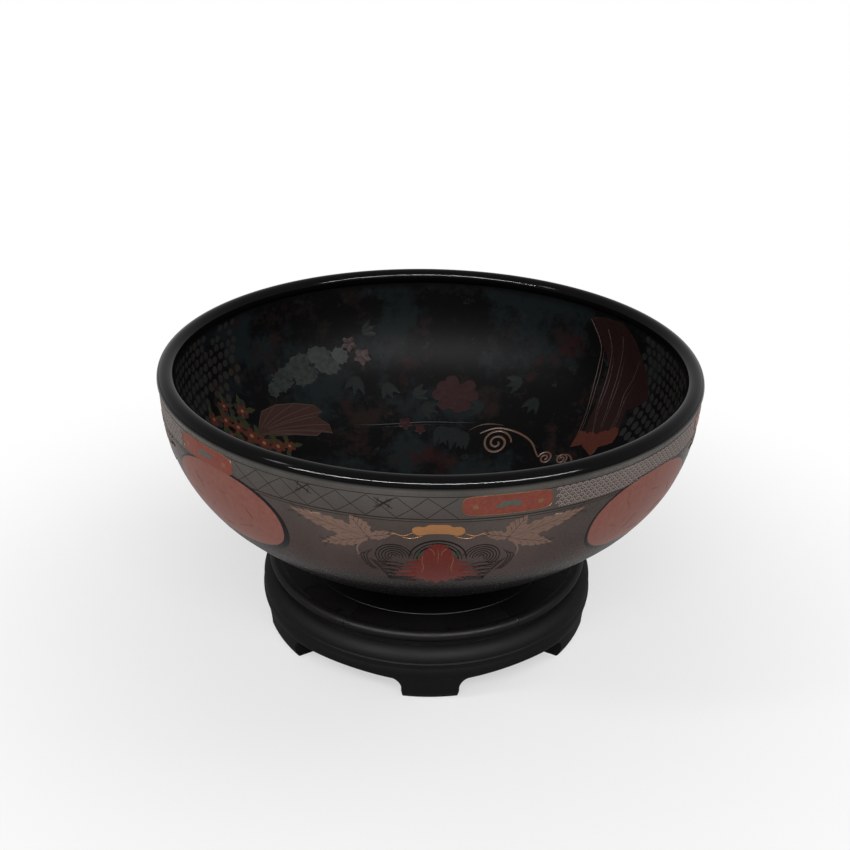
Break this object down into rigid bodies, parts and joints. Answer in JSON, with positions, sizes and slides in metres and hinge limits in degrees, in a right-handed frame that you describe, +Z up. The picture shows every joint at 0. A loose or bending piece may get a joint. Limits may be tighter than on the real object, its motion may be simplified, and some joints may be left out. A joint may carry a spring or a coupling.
{
  "type": "lacquered bowl on a wooden stand",
  "caption": "Wide round lacquered bowl with a rolled lip and a foot ring, resting on a low joined hardwood stand with a moulded frame, waist, aprons and legs.",
  "frame": {"origin": "on the table, at the axis that the bowl and the stand share", "axes": "+Z up along the shared axis; -Y towards the front leg; +X to the right from the front"},
  "size_m": [0.25, 0.25, 0.1384],
  "materials": {
    "black_lacquer": "glossy black lacquer over turned wood, with red and gold ornament",
    "stained_hardwood": "dark stained hardwood, waxed to a soft shine",
    "plain_hardwood": "unstained hardwood, planed"
  },
  "bodies": {
    "stand": {"centre_panel": "stained_hardwood", "frame_segment_1": "stained_hardwood", "frame_spline_1": "plain_hardwood", "apron_1": "stained_hardwood", "leg_1": "stained_hardwood", "frame_segment_2": "stained_hardwood", "frame_spline_2": "plain_hardwood", "apron_2": "stained_hardwood", "leg_2": "stained_hardwood", "frame_segment_3": "stained_hardwood", "frame_spline_3": "plain_hardwood", "apron_3": "stained_hardwood", "leg_3": "stained_hardwood", "frame_segment_4": "stained_hardwood", "frame_spline_4": "plain_hardwood", "apron_4": "stained_hardwood", "leg_4": "stained_hardwood", "frame_segment_5": "stained_hardwood", "frame_spline_5": "plain_hardwood", "apron_5": "stained_hardwood", "leg_5": "stained_hardwood", "frame_segment_6": "stained_hardwood", "frame_spline_6": "plain_hardwood", "apron_6": "stained_hardwood", "leg_6": "stained_hardwood"},
    "bowl": {"bowl": "black_lacquer"}
  },
  "joints": [
    {"name": "bowl_lift", "type": "slide", "parent": "stand", "child": "bowl", "axis": [0, 0, 1], "range_m": [0, 0.1]}
  ]
}
